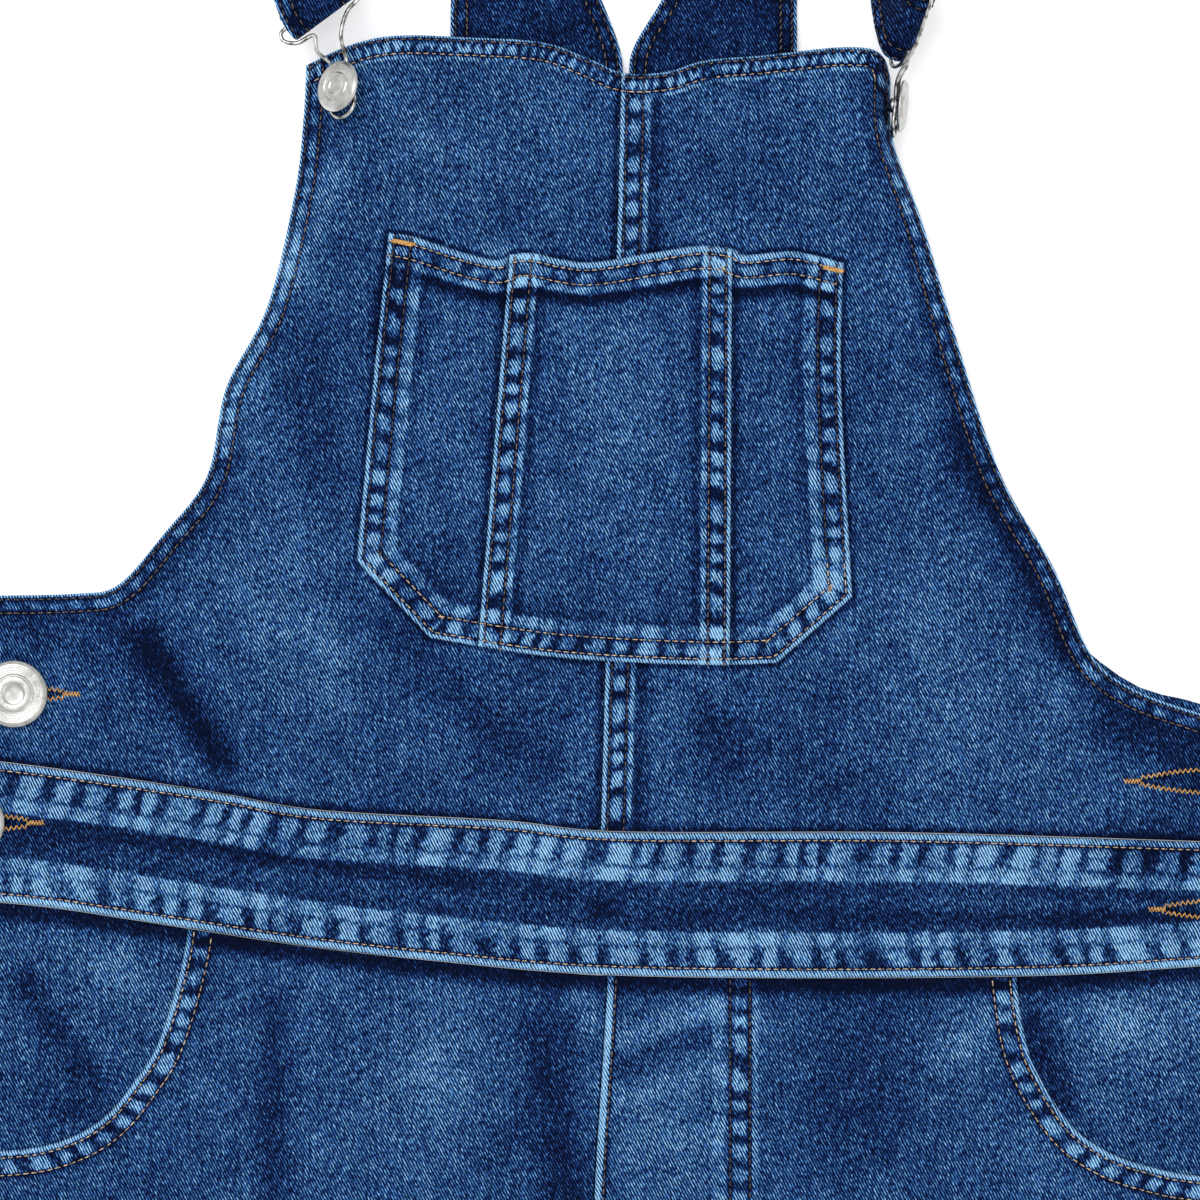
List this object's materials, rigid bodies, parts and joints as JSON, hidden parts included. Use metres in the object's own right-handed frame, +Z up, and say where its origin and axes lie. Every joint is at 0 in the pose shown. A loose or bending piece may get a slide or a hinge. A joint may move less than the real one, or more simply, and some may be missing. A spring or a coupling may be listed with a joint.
{
  "type": "denim dungarees",
  "caption": "Slim bib-and-brace dungarees in washed indigo denim, laid flat front up, with a panelled bib pocket, buttoned sides and button hooks.",
  "frame": {"origin": "on the surface that the garment lies on, under the middle of its box", "axes": "+X to the garment's right as seen from the front, +Y from the hems to the shoulders, +Z up out of the front"},
  "size_m": [0.4488, 1.3432, 0.0294],
  "materials": {
    "denim": "washed indigo twill with pale worn edges and golden-brown topstitching",
    "band_denim": "washed indigo twill, puckered along its stitch rows",
    "thread": "golden-brown and dark twisted sewing thread",
    "button_metal": "matt silver tack button with a fine milled face",
    "wire_metal": "bright plated steel wire and slides"
  },
  "bodies": {
    "root": {"front_bib_left": "denim", "front_bib_right": "denim", "back_bib": "denim", "bib_pocket_left": "denim", "bib_pocket_centre": "denim", "bib_pocket_right": "denim", "front_leg_left": "denim", "front_leg_right": "denim", "back_leg_left": "denim", "back_leg_right": "denim", "strap_left": "denim", "strap_right": "denim", "front_waistband": "band_denim", "back_waistband": "band_denim", "hip_facing_left": "band_denim", "hip_facing_right": "band_denim", "side_button_left_upper": "button_metal", "side_button_left_lower": "button_metal", "side_button_right_upper": "button_metal", "side_button_right_lower": "button_metal", "bib_button_left": "button_metal", "bib_button_right": "button_metal", "hook_left": "wire_metal", "hook_right": "wire_metal", "strap_slide_left": "wire_metal", "strap_slide_right": "wire_metal"}
  },
  "joints": []
}
